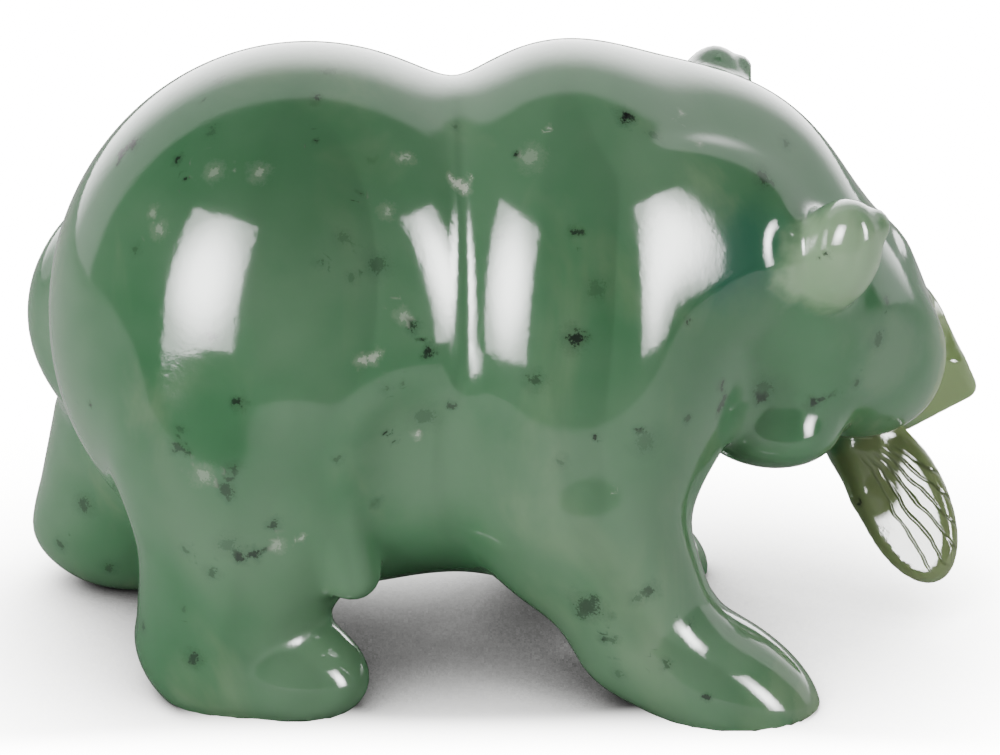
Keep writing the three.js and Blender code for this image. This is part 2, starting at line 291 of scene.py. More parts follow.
def fill_diagonals(values, depth):
    """Where points inside meet only across the diagonal of a square, the nearer third is taken in."""
    while True:
        filled = 0
        for u, v in ((0, 1), (1, 2), (2, 0)):
            corner = [slice(None)] * 3
            views = []
            for du, dv in ((0, 0), (1, 0), (1, 1), (0, 1)):
                corner[u] = slice(1, None) if du else slice(None, -1)
                corner[v] = slice(1, None) if dv else slice(None, -1)
                views.append(values[tuple(corner)])
            inside = [view < 0 for view in views]
            for a, b in ((0, 1), (1, 0)):
                crossed = inside[a] & inside[a + 2] & ~inside[b] & ~inside[b + 2]
                first = crossed & (views[b] <= views[b + 2])
                views[b][first] = -depth
                views[b + 2][crossed & ~first] = -depth
                filled += crossed.sum()
        if filled == 0:
            return


def surface_net(values, lines):
    """One corner in each cell that the surface passes, and a face across each edge it crosses."""
    shape = values.shape
    numbers = np.arange(values.size).reshape(shape)
    faces, cells, places = [], [], []
    for axis in range(3):
        here = [slice(1, -1)] * 3
        there = list(here)
        there[axis] = slice(2, None)
        a, b = values[tuple(here)], values[tuple(there)]
        crossed = (a < 0) != (b < 0)
        at = numbers[tuple(here)][crossed]
        a, b = a[crossed], b[crossed]
        index = np.stack(np.unravel_index(at, shape), axis=-1)
        point = np.stack([line[index[:, i]] for i, line in enumerate(lines)], axis=-1)
        gap = lines[axis][index[:, axis] + 1] - lines[axis][index[:, axis]]
        point[:, axis] += gap * a / (a - b)
        strides = [shape[1] * shape[2], shape[2], 1]
        u, v = strides[(axis + 1) % 3], strides[(axis + 2) % 3]
        ring = np.stack([at, at - u, at - u - v, at - v], axis=-1)
        ring[a >= 0] = ring[a >= 0][:, ::-1]
        faces.append(ring)
        cells.append(ring.ravel())
        places.append(np.repeat(point, 4, axis=0))
    cells = np.concatenate(cells)
    places = np.concatenate(places)
    order, spot = np.unique(cells, return_inverse=True)
    count = np.bincount(spot)
    corners = np.stack([np.bincount(spot, places[:, i]) / count for i in range(3)], axis=-1)
    return corners, np.searchsorted(order, np.concatenate(faces))


def slope(form, p, step=0.05):
    """The form's steepest way out at each point, from its values a small step to either side."""
    shifts = np.eye(3) * step
    return np.stack([(form(p + s) - form(p - s)) / (2 * step) for s in shifts], axis=-1)


def neighbour_mean(corners, faces):
    """The mean of the corners that share an edge with each corner."""
    ends = np.concatenate([np.stack([faces[:, i], faces[:, (i + 1) % 4]], -1) for i in range(4)])
    start = np.concatenate([ends[:, 0], ends[:, 1]])
    other = np.concatenate([ends[:, 1], ends[:, 0]])
    count = np.bincount(start, minlength=len(corners))
    sums = [np.bincount(start, corners[other, i], minlength=len(corners)) for i in range(3)]
    return np.stack(sums, axis=-1) / count[:, None]


def settled(form, corners, faces, rounds):
    """Corners evened out with their neighbours, then brought back onto the surface, in rounds."""
    for _ in range(rounds):
        corners = 0.5 * corners + 0.5 * neighbour_mean(corners, faces)
        g = slope(form, corners)
        corners = corners - (form(corners) / ((g * g).sum(-1) + 1e-9))[:, None] * g
    return corners


def thickness(form, corners, outward, depths):
    """How far the stone goes in below each corner, as the share of the given depths still inside."""
    inside = [form(corners - outward * depth) < 0 for depth in depths]
    solid = np.cumprod(np.array(inside, float), axis=0)
    return solid.sum(axis=0) / len(depths)


# The view of the near side: how far off the eye is and how high it aims, in mm, and how many degrees
# it looks down.
VIEW_DISTANCE = 520
VIEW_HEIGHT = 45.7
LOOK_DOWN = 20

# Marks seen on the near side: mm to the right of the picture's middle, mm above it, size in mm and
# how strong. First the dark mineral grains, then the pale flaws and dust.
GRAINS = (
    (-59.7, 35.6, 1.1, 0.9), (-58.1, 37.0, 1.5, 0.9), (-60.5, 34.2, 0.7, 0.8), (-51.0, 34.4, 0.7, 0.9),
    (-49.7, 31.3, 0.4, 0.9), (-29.0, 44.2, 0.8, 0.8), (-29.2, 37.4, 0.4, 0.9), (-45.6, 39.0, 0.9, 0.3),
    (-57.6, 20.4, 0.8, 0.35), (-45.7, 6.7, 1.1, 0.65), (-41.3, -3.9, 1.0, 0.9), (-42.0, -3.7, 0.6, 0.8),
    (-64.9, -4.4, 0.5, 0.9), (-22.1, 29.6, 0.4, 0.8), (-24.8, 22.1, 1.0, 0.3), (-19.5, 17.9, 1.6, 0.45),
    (-23.3, 15.8, 0.9, 0.3), (-28.6, 18.2, 0.6, 0.4), (-13.7, 8.2, 1.1, 0.75), (-11.1, 4.2, 0.9, 0.9),
    (-11.8, 3.4, 0.7, 0.8), (-27.0, 48.5, 1.5, 0.3), (-44.5, 47.0, 1.2, 0.25), (-46.8, 44.0, 0.6, 0.4),
    (-7.1, 39.8, 0.7, 0.4), (-17.9, -1.7, 0.7, 0.4), (-15.6, -1.0, 0.5, 0.4), (-7.5, -4.5, 0.7, 0.7),
    (20.3, 41.3, 1.3, 1.0), (21.4, 41.1, 0.8, 0.9), (2.7, 35.3, 0.7, 0.9), (3.1, 36.1, 0.4, 0.8),
    (12.2, 23.1, 0.8, 0.85), (13.2, 22.8, 0.5, 0.8), (24.6, 38.5, 0.9, 0.35), (42.0, 31.7, 1.4, 0.65),
    (43.4, 30.8, 0.8, 0.5), (45.6, 37.2, 1.0, 0.4), (12.2, 6.2, 1.5, 0.95), (14.0, 6.7, 0.7, 0.8),
    (5.6, -0.4, 1.3, 0.6), (15.6, 14.0, 1.6, 0.3), (30.0, 9.1, 0.5, 0.8), (22.2, -8.3, 0.9, 0.8),
    (15.4, -9.4, 0.5, 0.9), (23.2, -10.2, 2.0, 0.3), (41.7, -3.1, 1.4, 0.8), (41.9, -1.9, 1.9, 0.4),
    (50.0, -3.9, 1.1, 0.85), (51.4, -3.4, 0.8, 0.7), (35.7, -3.5, 1.1, 0.7), (35.4, -1.3, 0.9, 0.7),
    (35.0, -5.2, 0.9, 0.7), (51.9, 19.6, 0.6, 0.85), (51.0, 19.0, 0.4, 0.8), (60.3, 6.0, 1.4, 0.45),
    (61.6, 12.2, 0.9, 0.5), (56.8, -0.9, 0.8, 0.5), (53.2, -2.7, 0.6, 0.5), (29.8, -6.7, 0.7, 0.5),
    (-51.1, -11.1, 1.1, 0.65), (-49.5, -11.9, 0.8, 0.65), (-50.5, -8.4, 0.8, 0.4),
    (-42.1, -14.8, 1.0, 0.6), (-43.4, -17.6, 1.2, 0.65), (-42.9, -19.2, 0.8, 0.6),
    (-35.7, -23.4, 0.9, 0.75), (-41.0, -28.3, 1.1, 0.85), (-38.6, -27.9, 1.1, 0.85),
    (-36.8, -27.3, 0.7, 0.7), (-42.9, -26.7, 1.7, 0.35), (-45.6, -31.0, 1.0, 0.5),
    (-49.7, -27.4, 0.8, 0.4), (-56.4, -39.6, 0.9, 0.5), (-50.0, -36.9, 0.5, 0.3), (-48.5, -44.6, 1.2, 0.75),
    (-17.9, -8.7, 0.5, 0.9), (-16.7, -10.2, 0.5, 0.6), (-11.9, -6.2, 2.0, 0.35), (-25.4, -13.0, 0.7, 0.4),
    (14.2, -36.5, 2.4, 0.7), (15.1, -35.5, 1.3, 0.7), (13.3, -37.6, 1.3, 0.6), (23.8, -34.0, 1.3, 0.65),
    (22.1, -34.9, 1.2, 0.4), (16.5, -41.6, 0.8, 0.75), (18.0, -41.6, 0.9, 0.45), (26.5, -45.6, 0.7, 0.5),
    (33.0, -50.8, 0.5, 0.85), (19.0, -46.9, 1.0, 0.3), (10.0, -13.6, 0.9, 0.35), (30.2, -39.3, 0.7, 0.5),
    (-65.8, -20.2, 1.5, 0.6), (-69.5, -26.6, 1.0, 0.6), (-61.9, -30.2, 1.1, 0.5), (57.1, -19.9, 0.7, 0.8),
    (54.4, -18.3, 0.5, 0.8), (57.9, 44.0, 0.9, 0.3),
)
FLAWS = (
    (-45.1, 32.6, 1.1, 0.35), (-38.1, 32.5, 1.1, 0.4), (-54.8, 26.1, 0.7, 0.35), (-54.0, 23.4, 1.0, 0.4),
    (-15.5, 34.8, 0.8, 0.5), (-14.3, 34.9, 0.8, 0.4), (-17.8, 26.3, 0.8, 0.4), (-15.0, 9.5, 1.1, 0.5),
    (-21.4, 2.8, 0.9, 0.75), (-19.9, 3.2, 0.9, 0.75), (-19.0, 3.9, 0.6, 0.7), (-6.4, 30.6, 1.0, 1.0),
    (-5.3, 30.0, 0.9, 1.0), (-7.6, 31.9, 0.5, 0.9), (-4.6, 31.9, 0.4, 0.9), (-12.9, -9.3, 0.7, 0.8),
    (-46.9, -15.5, 1.3, 0.4), (-35.3, -26.8, 1.0, 0.5), (-31.2, -25.5, 0.6, 0.6), (18.0, -18.2, 0.3, 0.8),
    (31.7, 37.1, 0.6, 0.5), (8.0, 39.5, 0.4, 0.6), (5.0, 34.9, 1.5, 0.3), (28.9, 42.0, 0.5, 0.4),
)


def seen_at(across, up):
    """Where the viewer's line through a place in the picture meets the stone, in mm."""
    down = np.radians(LOOK_DOWN)
    back = np.array((0, -np.cos(down), np.sin(down)))
    aim = np.array((0, 0, VIEW_HEIGHT))
    eye = aim + VIEW_DISTANCE * back
    through = aim + across * np.array((1, 0, 0)) + up * np.array((0, np.sin(down), np.cos(down)))
    way = (through - eye) / np.linalg.norm(through - eye)
    depths = np.arange(VIEW_DISTANCE - 80, VIEW_DISTANCE + 100, 0.1)
    line = eye + depths[:, None] * way
    met = np.argmax(carving(line) < 0)
    return line[met]


def nearest_marks(corners):
    """The centre, size, strength and tone (0 dark, 1 pale) of the mark nearest to each corner."""
    marks = [(*mark, 0.0) for mark in GRAINS] + [(*mark, 1.0) for mark in FLAWS]
    centres = np.array([seen_at(across, up) for across, up, *_ in marks])
    sizes, strengths, tones = np.array(marks)[:, 2:].T
    near = np.full(len(corners), np.inf)
    second = near.copy()
    chosen = np.zeros(len(corners), int)
    for i, (centre, size) in enumerate(zip(centres, sizes)):
        apart = np.linalg.norm(corners - centre, axis=-1) / size
        second = np.where(apart < near, near, np.minimum(apart, second))
        chosen[apart < near] = i
        near = np.minimum(apart, near)
    inside = near * sizes[chosen] < 1.4 * sizes[chosen] + 1.5
    alone = (near < 1.4) | (second - near > 1.2)
    return centres[chosen], sizes[chosen], strengths[chosen] * inside * alone, tones[chosen]


def new_mesh(name, corners, faces, outward):
    """A mesh object from corners, four-sided faces and the way out at each corner."""
    mesh = bpy.data.meshes.new(name)
    mesh.from_pydata([], [], [])
    mesh.vertices.add(len(corners))
    mesh.vertices.foreach_set("co", corners.astype(np.float32).ravel())
    mesh.loops.add(faces.size)
    mesh.loops.foreach_set("vertex_index", faces.astype(np.int32).ravel())
    mesh.polygons.add(len(faces))
    mesh.polygons.foreach_set("loop_start", np.arange(0, faces.size, 4, dtype=np.int32))
    mesh.update(calc_edges=True)
    mesh.validate()
    mesh.shade_smooth()
    mesh.normals_split_custom_set_from_vertices(outward.astype(np.float32))
    piece = bpy.data.objects.new(name, mesh)
    bpy.context.scene.collection.objects.link(piece)
    return piece


def corner_attribute(mesh, name, values):
    """A number or a vector for each corner of the mesh, for the material to read."""
    kind, part = ("FLOAT", "value") if values.ndim == 1 else ("FLOAT_VECTOR", "vector")
    attribute = mesh.attributes.new(name, kind, "POINT")
    attribute.data.foreach_set(part, values.astype(np.float32).ravel())


# Node groups that the jade's materials share.


class Nodes:
    """Adds nodes to a tree and links their sockets by name."""

    def __init__(self, tree):
        self.tree = tree

    def add(self, kind, _options=None, **inputs):
        node = self.tree.nodes.new(kind)
        for key, value in (_options or {}).items():
            setattr(node, key, value)
        for key, value in inputs.items():
            self.feed(node.inputs[key.replace("_", " ")], value)
        return node

    def feed(self, socket, value):
        if isinstance(value, bpy.types.NodeSocket):
            self.tree.links.new(value, socket)
        else:
            socket.default_value = value

    def math(self, operation, a, b=0.0, c=0.0):
        node = self.tree.nodes.new("ShaderNodeMath")
        node.operation = operation
        for socket, value in zip(node.inputs, (a, b, c)):
            self.feed(socket, value)
        return node.outputs[0]

    def vector(self, operation, a, b=(0, 0, 0)):
        node = self.tree.nodes.new("ShaderNodeVectorMath")
        node.operation = operation
        self.feed(node.inputs[0], a)
        self.feed(node.inputs[1], b)
        return node.outputs["Value" if operation in ("LENGTH", "DISTANCE") else "Vector"]

    def scaled(self, vector, factor):
        node = self.add("ShaderNodeVectorMath", {"operation": "SCALE"})
        self.feed(node.inputs["Vector"], vector)
        self.feed(node.inputs["Scale"], factor)
        return node.outputs["Vector"]

    def spread(self, value, low, high, to_low=0.0, to_high=1.0):
        node = self.add("ShaderNodeMapRange", {"interpolation_type": "SMOOTHSTEP"})
        for key, part in zip(("Value", "From Min", "From Max", "To Min", "To Max"),
                             (value, low, high, to_low, to_high)):
            self.feed(node.inputs[key], part)
        return node.outputs["Result"]

    def mix(self, factor, a, b, blend_type="MIX"):
        node = self.tree.nodes.new("ShaderNodeMix")
        node.data_type = "RGBA"
        node.blend_type = blend_type
        self.feed(node.inputs["Factor"], factor)
        self.feed(node.inputs[6], a)
        self.feed(node.inputs[7], b)
        return node.outputs[2]

    def noise(self, place, scale, detail=2.0, roughness=0.5, distortion=0.0):
        node = self.add("ShaderNodeTexNoise", None, Vector=place, Scale=scale, Detail=detail,
                        Roughness=roughness, Distortion=distortion)
        return node.outputs["Fac"]


def new_group(name, inputs, outputs):
    """An empty shader node group with the named sockets, and its input and output nodes."""
    group = bpy.data.node_groups.new(name, "ShaderNodeTree")
    for socket, kind, default in inputs:
        made = group.interface.new_socket(socket, in_out="INPUT", socket_type=kind)
        made.default_value = default
    for socket, kind in outputs:
        group.interface.new_socket(socket, in_out="OUTPUT", socket_type=kind)
    nodes = Nodes(group)
    return nodes, nodes.add("NodeGroupInput"), nodes.add("NodeGroupOutput")


def patch_group():
    """A soft-edged patch round a place: one inside the radius, fading to none over the softness."""
    nodes, start, end = new_group(
        "Patch",
        [("Place", "NodeSocketVector", (0, 0, 0)), ("Centre", "NodeSocketVector", (0, 0, 0)),
         ("Radius", "NodeSocketFloat", 0.01), ("Softness", "NodeSocketFloat", 0.005),
         ("Waviness", "NodeSocketFloat", 0.0)],
        [("Mask", "NodeSocketFloat")],
    )
    place = start.outputs["Place"]
    apart = nodes.vector("DISTANCE", place, start.outputs["Centre"])
    wave = nodes.math("SUBTRACT", nodes.noise(place, 160.0, 3.0), 0.5)
    apart = nodes.math("ADD", apart, nodes.math("MULTIPLY", wave, start.outputs["Waviness"]))
    inner = nodes.math("SUBTRACT", start.outputs["Radius"], start.outputs["Softness"])
    mask = nodes.spread(apart, inner, start.outputs["Radius"], 1.0, 0.0)
    nodes.feed(end.inputs["Mask"], mask)
    return nodes.tree


def inclusion_group():
    """A mark in ragged space: a core with a broken edge and a fainter halo of dust."""
    nodes, start, end = new_group(
        "Inclusion",
        [("Ragged Place", "NodeSocketVector", (0, 0, 0)), ("Broken", "NodeSocketFloat", 0.5),
         ("Centre", "NodeSocketVector", (0, 0, 0)), ("Size", "NodeSocketFloat", 0.001),
         ("Strength", "NodeSocketFloat", 1.0)],
        [("Mask", "NodeSocketFloat")],
    )
    apart = nodes.vector("DISTANCE", start.outputs["Ragged Place"], start.outputs["Centre"])
    apart = nodes.math("DIVIDE", apart, start.outputs["Size"])
    apart = nodes.math("ADD", apart, start.outputs["Broken"])
    core = nodes.spread(apart, 0.45, 1.05, 1.0, 0.0)
    halo = nodes.spread(apart, 0.6, 2.3, 0.3, 0.0)
    mask = nodes.math("MULTIPLY", nodes.math("MAXIMUM", core, halo), start.outputs["Strength"])
    nodes.feed(end.inputs["Mask"], mask)
    return nodes.tree


def fin_rays_group():
    """Fine grooves that fan out over the tail fin, for a place in the tail's own frame."""
    nodes, start, end = new_group(
        "Fin Rays",
        [("Tail Place", "NodeSocketVector", (0, 0, 0)), ("Spacing", "NodeSocketFloat", 0.084),
         ("Width", "NodeSocketFloat", 0.0004)],
        [("Mask", "NodeSocketFloat")],
    )
    root = (-0.008, -0.001, 0.0)
    from_root = nodes.vector("SUBTRACT", start.outputs["Tail Place"], root)
    part = nodes.add("ShaderNodeSeparateXYZ", None, Vector=from_root)
    x, y = part.outputs["X"], part.outputs["Y"]
    sway = nodes.math("SUBTRACT", nodes.noise(start.outputs["Tail Place"], 120.0), 0.5)
    angle = nodes.math("ADD", nodes.math("ARCTAN2", y, x), nodes.math("MULTIPLY", sway, 0.12))
    off = nodes.math("PINGPONG", angle, nodes.math("MULTIPLY", start.outputs["Spacing"], 0.5))
    apart = nodes.math("MULTIPLY", off, x)
    line = nodes.spread(apart, 0.0, start.outputs["Width"], 1.0, 0.0)
    past_root = nodes.spread(x, 0.010, 0.016)
    before_rim = nodes.spread(x, 0.031, 0.034, 1.0, 0.0)
    fan = nodes.math("MULTIPLY", nodes.spread(angle, 0.06, 0.1), nodes.spread(angle, 0.5, 0.55, 1.0, 0.0))
    on_fin = nodes.math("MULTIPLY", nodes.math("MULTIPLY", past_root, before_rim), fan)
    near_side = nodes.spread(part.outputs["Z"], 0.0, 0.001)
    mask = nodes.math("MULTIPLY", nodes.math("MULTIPLY", line, on_fin), near_side)
    nodes.feed(end.inputs["Mask"], mask)
    return nodes.tree


def clouds_group():
    """Cloudy zones, wisps and grain of the stone, its ragged space, and scattered specks."""
    nodes, start, end = new_group(
        "Stone Clouds",
        [("Place", "NodeSocketVector", (0, 0, 0))],
        [("Clouds", "NodeSocketFloat"), ("Wisps", "NodeSocketFloat"), ("Grain", "NodeSocketFloat"),
         ("Streaks", "NodeSocketFloat"), ("Ragged Place", "NodeSocketVector"),
         ("Broken", "NodeSocketFloat"), ("Specks", "NodeSocketFloat")],
    )
    place = start.outputs["Place"]
    nodes.feed(end.inputs["Clouds"], nodes.spread(nodes.noise(place, 24.0, 3.0, 0.5, 0.2), 0.3, 0.75))
    stretched = nodes.vector("MULTIPLY", place, (1.0, 1.0, 0.45))
    nodes.feed(end.inputs["Wisps"], nodes.spread(nodes.noise(stretched, 60.0, 4.0, 0.5, 0.6), 0.5, 0.8))
    nodes.feed(end.inputs["Grain"], nodes.noise(place, 700.0, 3.0, 0.6))
    combed = nodes.vector("MULTIPLY", place, (1.0, 1.0, 0.12))
    nodes.feed(end.inputs["Streaks"], nodes.noise(combed, 1400.0, 2.0, 0.6))
    noise = nodes.add("ShaderNodeTexNoise", None, Vector=place, Scale=650.0, Detail=3.0)
    shift = nodes.vector("SUBTRACT", noise.outputs["Color"], (0.5, 0.5, 0.5))
    ragged = nodes.vector("ADD", place, nodes.scaled(shift, 0.0022))
    nodes.feed(end.inputs["Ragged Place"], ragged)
    fine = nodes.noise(place, 2600.0, 2.0, 0.7)
    nodes.feed(end.inputs["Broken"], nodes.math("MULTIPLY", nodes.math("SUBTRACT", fine, 0.5), 1.6))
    cells = nodes.add("ShaderNodeTexVoronoi", None, Vector=ragged, Scale=110.0, Randomness=1.0)
    chance = nodes.add("ShaderNodeSeparateColor", None, Color=cells.outputs["Color"])
    kept = nodes.spread(chance.outputs["Red"], 0.72, 0.9)
    grown = nodes.math("MULTIPLY", chance.outputs["Green"], 0.16)
    speck = nodes.spread(cells.outputs["Distance"], 0.0, nodes.math("ADD", grown, 0.04), 1.0, 0.0)
    nodes.feed(end.inputs["Specks"], nodes.math("MULTIPLY", speck, kept))
    return nodes.tree


# Materials.


def colour(red, green, blue):
    """A colour given from 0 to 255 as the eye reads it, as the linear values that a shader takes."""
    parts = np.array((red, green, blue)) / 255
    linear = np.where(parts <= 0.04045, parts / 12.92, ((parts + 0.055) / 1.055) ** 2.4)
    return (*(float(part) for part in linear), 1.0)


def jade_material(finish, middle):
    """Deep green stone with cloudy zones, tints where it is thin, marks, painted shade and painted floor
    reflection in places, and a high polish.
    """
    material = bpy.data.materials.new("Polished jade")
    material.use_nodes = True
    material.node_tree.nodes.clear()
    nodes = Nodes(material.node_tree)
    place = nodes.add("ShaderNodeTexCoord").outputs["Object"]
    patch = patch_group()

    def grouped(tree, **inputs):
        return nodes.add("ShaderNodeGroup", {"node_tree": tree}, **inputs)

    def seen(across, up):
        """The same place on the finished mesh, in metres."""
        return [float(part) / 1000 for part in seen_at(across, up) - middle]

    def read(name, output="Fac"):
        return nodes.add("ShaderNodeAttribute", {"attribute_name": name}).outputs[output]

    stone = grouped(clouds_group(), Place=place)
    mark = grouped(inclusion_group(), Ragged_Place=stone.outputs["Ragged Place"],
                   Broken=stone.outputs["Broken"], Centre=read("mark_centre", "Vector"),
                   Size=read("mark_size"), Strength=read("mark_strength")).outputs["Mask"]
    thick = read("thickness")
    hollow = read("hollow")
    paint = nodes.mix(stone.outputs["Clouds"], finish.deep, finish.cloud_and_floor_light)
    wisps = nodes.math("MULTIPLY", stone.outputs["Wisps"], 0.3)
    paint = nodes.mix(wisps, paint, finish.pale)
    thin = nodes.math("SUBTRACT", 1.0, thick)
    paint = nodes.mix(nodes.spread(thin, 0.0, 1.0, 0.0, 0.6), paint, finish.pale)
    for (across, up), radius, softness, tint, strength in finish.patches():
        mask = grouped(patch, Place=place, Centre=seen(across, up), Radius=radius,
                       Softness=softness, Waviness=0.008).outputs["Mask"]
        paint = nodes.mix(nodes.math("MULTIPLY", mask, strength), paint, tint)
    paint = nodes.mix(nodes.math("MULTIPLY", stone.outputs["Specks"], 0.4), paint, finish.grain)
    paint = nodes.mix(mark, paint, nodes.mix(read("mark_tone"), finish.grain, finish.fleck))
    fin_grooves_and_shade = grouped(fin_rays_group(), Tail_Place=read("tail_place", "Vector")).outputs["Mask"]
    # Painted shade: the fin's grooves darkened in the grain colour, besides being cut in by the bump below.
    paint = nodes.mix(nodes.math("MULTIPLY", fin_grooves_and_shade, 0.5), paint, finish.grain)
    worn = nodes.math("MULTIPLY", hollow, 0.1)
    rough = nodes.math("ADD", nodes.math("MULTIPLY", stone.outputs["Grain"], 0.04), worn)
    rough = nodes.math("ADD", rough, finish.roughness)
    combed = nodes.math("MULTIPLY", stone.outputs["Streaks"], hollow)
    bump = nodes.add("ShaderNodeBump", None, Strength=0.08, Distance=0.0002, Height=combed)
    bump = nodes.add("ShaderNodeBump", None, Strength=0.05, Distance=0.0003,
                     Height=stone.outputs["Grain"], Normal=bump.outputs["Normal"])
    bump = nodes.add("ShaderNodeBump", {"invert": True}, Strength=0.35, Distance=0.0004,
                     Height=fin_grooves_and_shade, Normal=bump.outputs["Normal"])
    shader = nodes.add("ShaderNodeBsdfPrincipled", None, Base_Color=paint, Roughness=rough,
                       Normal=bump.outputs["Normal"])
    shader.inputs["IOR"].default_value = finish.ior
    shader.inputs["Subsurface Weight"].default_value = finish.glow
    shader.inputs["Subsurface Radius"].default_value = (0.6, 1.0, 0.6)
    shader.inputs["Subsurface Scale"].default_value = finish.glow_depth
    output = nodes.add("ShaderNodeOutputMaterial")
    nodes.feed(output.inputs["Surface"], shader.outputs["BSDF"])
    return material


def floor_material(settings):
    """A pale table, white to the eye where open or in front, with a painted shadow, greyer where the
    carving covers it; in reflections a diffuse table darkened by the same painted shadow.
    """
    material = bpy.data.materials.new("Pale table")
    material.use_nodes = True
    material.node_tree.nodes.clear()
    nodes = Nodes(material.node_tree)
    place = nodes.add("ShaderNodeTexCoord").outputs["Object"]
    y = nodes.add("ShaderNodeSeparateXYZ", None, Vector=place).outputs["Y"]
    seen = nodes.add("ShaderNodeLightPath").outputs["Is Camera Ray"]
    shadow_reach = 0.064
    open_sky = nodes.add("ShaderNodeAmbientOcclusion", {"samples": 16},
                         Distance=shadow_reach).outputs["AO"]
    white_from, shadow_from = -0.052, -0.03
    front = nodes.spread(y, white_from, shadow_from, 1.0, 0.0)
    # Painted shadow: the glow seen by the camera dims where ambient occlusion finds the carving near,
    # except in front of the paws.
    lit = nodes.math("MAXIMUM", nodes.math("POWER", open_sky, 2.8), front)
    level = nodes.math("MULTIPLY", lit, settings.floor_light)
    shown = nodes.add("ShaderNodeEmission", None, Color=settings.floor, Strength=level)
    # Painted shadow for reflections: the table's colour darkened where the carving covers it.
    painted_shade = nodes.mix(nodes.math("POWER", open_sky, 1.5), grey(0.02), settings.floor)
    table = nodes.add("ShaderNodeBsdfDiffuse", None, Color=painted_shade)
    past = nodes.spread(y, -settings.table_front - 0.004, -settings.table_front, 1.0, 0.0)
    ended = nodes.add("ShaderNodeBsdfTransparent")
    plain = nodes.add("ShaderNodeMixShader")
    for socket, part in zip(plain.inputs, (past, table.outputs[0], ended.outputs[0])):
        nodes.feed(socket, part)
    chosen = nodes.add("ShaderNodeMixShader")
    for socket, part in zip(chosen.inputs, (seen, plain.outputs[0], shown.outputs[0])):
        nodes.feed(socket, part)
    output = nodes.add("ShaderNodeOutputMaterial")
    nodes.feed(output.inputs["Surface"], chosen.outputs["Shader"])
    return material


# Settings that a user would change.


class BearSizes(bpy.types.PropertyGroup):
    """Sizes of the carved stone."""

    height: bpy.props.FloatProperty(
        name="Height", description="Height of the carving from its soles to its shoulders",
        default=float(BEAR_HIGH[2]), min=0.02, max=1.0, unit="LENGTH")
    cell: bpy.props.FloatProperty(
        name="Cell", description="Spacing of the lattice on the body, in hundredths of the height",
        default=1.1, min=0.5, max=4.0)
    face_cell: bpy.props.FloatProperty(
        name="Face cell", description="Spacing along the head and fish, in hundredths of the height",
        default=0.8, min=0.4, max=4.0)


class JadeFinish(bpy.types.PropertyGroup):
    """Colours and polish of the jade."""

    deep: bpy.props.FloatVectorProperty(
        name="Deep green", description="Colour of the thick stone",
        default=colour(74, 126, 86), size=4, subtype="COLOR")
    # Also used as a painted reflection of the pale floor on the lower belly and the paws.
    cloud_and_floor_light: bpy.props.FloatVectorProperty(
        name="Cloudy green", description="Colour of the cloudy zones",
        default=colour(116, 152, 120), size=4, subtype="COLOR")
    pale: bpy.props.FloatVectorProperty(
        name="Pale green", description="Colour of thin edges and wisps",
        default=colour(170, 192, 152), size=4, subtype="COLOR")
    # Partly a bluish tint of the stone, partly painted shade in the groove of the neck.
    teal_and_neck_shade: bpy.props.FloatVectorProperty(
        name="Teal", description="Colour of the bluish zone on the neck",
        default=colour(46, 104, 84), size=4, subtype="COLOR")
    # Painted shade: a darker green for the top of the rump, where less light falls on it.
    painted_shade: bpy.props.FloatVectorProperty(
        name="Dark green", description="Colour of the darkest zone, high on the rump",
        default=colour(54, 104, 66), size=4, subtype="COLOR")
    light: bpy.props.FloatVectorProperty(
        name="Ear green", description="Colour of the light green ears",
        default=colour(172, 204, 164), size=4, subtype="COLOR")
    honey: bpy.props.FloatVectorProperty(
        name="Snout green", description="Colour of the yellowish snout",
        default=colour(156, 180, 118), size=4, subtype="COLOR")
    olive: bpy.props.FloatVectorProperty(
        name="Olive", description="Colour of the fish",
        default=colour(132, 146, 100), size=4, subtype="COLOR")
    grain: bpy.props.FloatVectorProperty(
        name="Grain", description="Colour of the dark mineral grains",
        default=colour(30, 34, 32), size=4, subtype="COLOR")
    fleck: bpy.props.FloatVectorProperty(
        name="Fleck", description="Colour of small white flaws",
        default=colour(205, 215, 196), size=4, subtype="COLOR")
    roughness: bpy.props.FloatProperty(
        name="Roughness", description="Roughness of the polish", default=0.06, min=0, max=1)
    ior: bpy.props.FloatProperty(
        name="Refraction", description="Index of refraction of nephrite", default=1.61, min=1, max=3)
    glow: bpy.props.FloatProperty(
        name="Glow", description="Share of the light that travels below the surface",
        default=0.22, min=0, max=1)
    glow_depth: bpy.props.FloatProperty(
        name="Glow depth", description="How far light travels below the surface",
        default=0.004, min=0, max=0.05, unit="LENGTH")

    def patches(self):
        """Tinted zones, some of them painted shade, some painted floor reflection: where they are seen, in
        mm, radius and softness in m, colour and strength.
        """
        return (
            # Partly a teal tint, partly painted shade: the neck's groove behind the ear darkened.
            ((39.0, 20.0), 0.012, 0.010, self.teal_and_neck_shade, 0.75),
            ((33.0, 15.0), 0.008, 0.007, self.teal_and_neck_shade, 0.4),
            ((55.5, 16.0), 0.0125, 0.005, self.light, 0.85),
            ((54.0, 24.0), 0.008, 0.005, self.light, 0.5),
            ((73.0, 2.0), 0.016, 0.006, self.honey, 0.9),
            ((64.5, -20.0), 0.0165, 0.004, self.olive, 0.95),
            # Partly cloud, partly painted floor reflection: the lower belly lightened.
            ((-11.0, -12.0), 0.018, 0.014, self.cloud_and_floor_light, 0.7),
            ((62.0, 3.0), 0.010, 0.008, self.cloud_and_floor_light, 0.7),
            # Painted shade: the top of the rump darkened, where less light falls on it.
            ((-32.0, 34.0), 0.030, 0.026, self.painted_shade, 0.6),
            # Partly cloud, partly painted floor reflection: the paws lightened.
            ((-30.0, -50.0), 0.018, 0.014, self.cloud_and_floor_light, 0.5),
            ((30.0, -50.0), 0.016, 0.012, self.cloud_and_floor_light, 0.5),
        )


